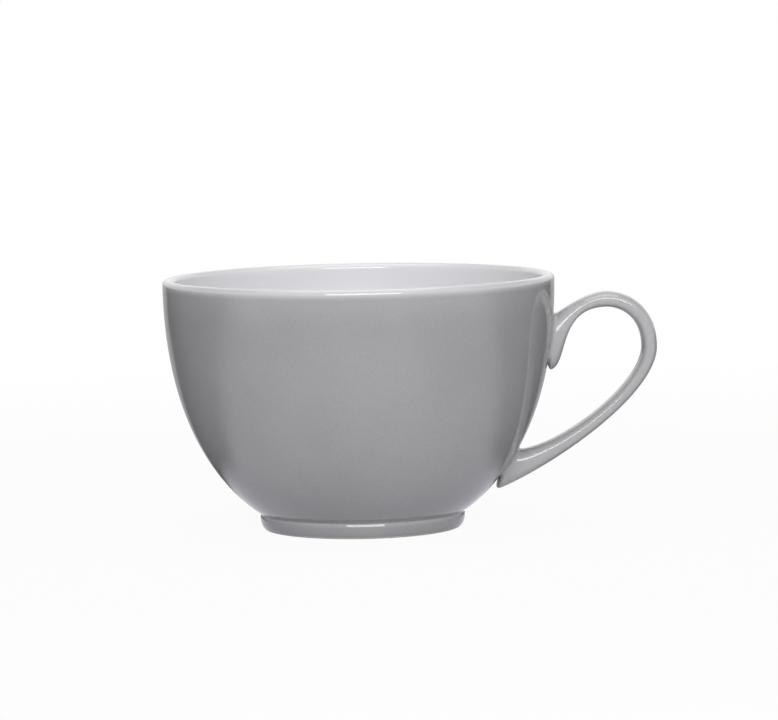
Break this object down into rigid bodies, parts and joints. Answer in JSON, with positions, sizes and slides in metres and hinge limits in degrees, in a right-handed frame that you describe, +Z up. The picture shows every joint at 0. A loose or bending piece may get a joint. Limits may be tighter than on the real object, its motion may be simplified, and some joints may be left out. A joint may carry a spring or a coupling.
{
  "type": "cappuccino cup",
  "caption": "Round-bellied cappuccino cup on a rounded foot ring, grey glaze outside and white inside, with a strap loop handle swept down from the wall to just above the foot.",
  "frame": {"origin": "middle of the foot ring, on the plane that the cup stands on", "axes": "+Z up along the cup's axis, +X from the axis to the handle, +Y to the left of the handle seen from the cup"},
  "size_m": [0.121, 0.096, 0.0619],
  "materials": {
    "clay": "bare fired porcelain, matt, seen only on the ring that the cup stands on",
    "slip": "fired joining slip, matt, hidden in the joints",
    "grey_glaze": "gloss, even warm grey, paler where it runs thin over the strap and below the lip",
    "white_glaze": "gloss white, carried over the lip"
  },
  "bodies": {
    "root": {"bowl": "clay", "handle": "clay", "upper_slip": "slip", "lower_slip": "slip", "outer_glaze": "grey_glaze", "handle_glaze": "grey_glaze", "base_glaze": "grey_glaze", "inner_glaze": "white_glaze"}
  },
  "joints": []
}
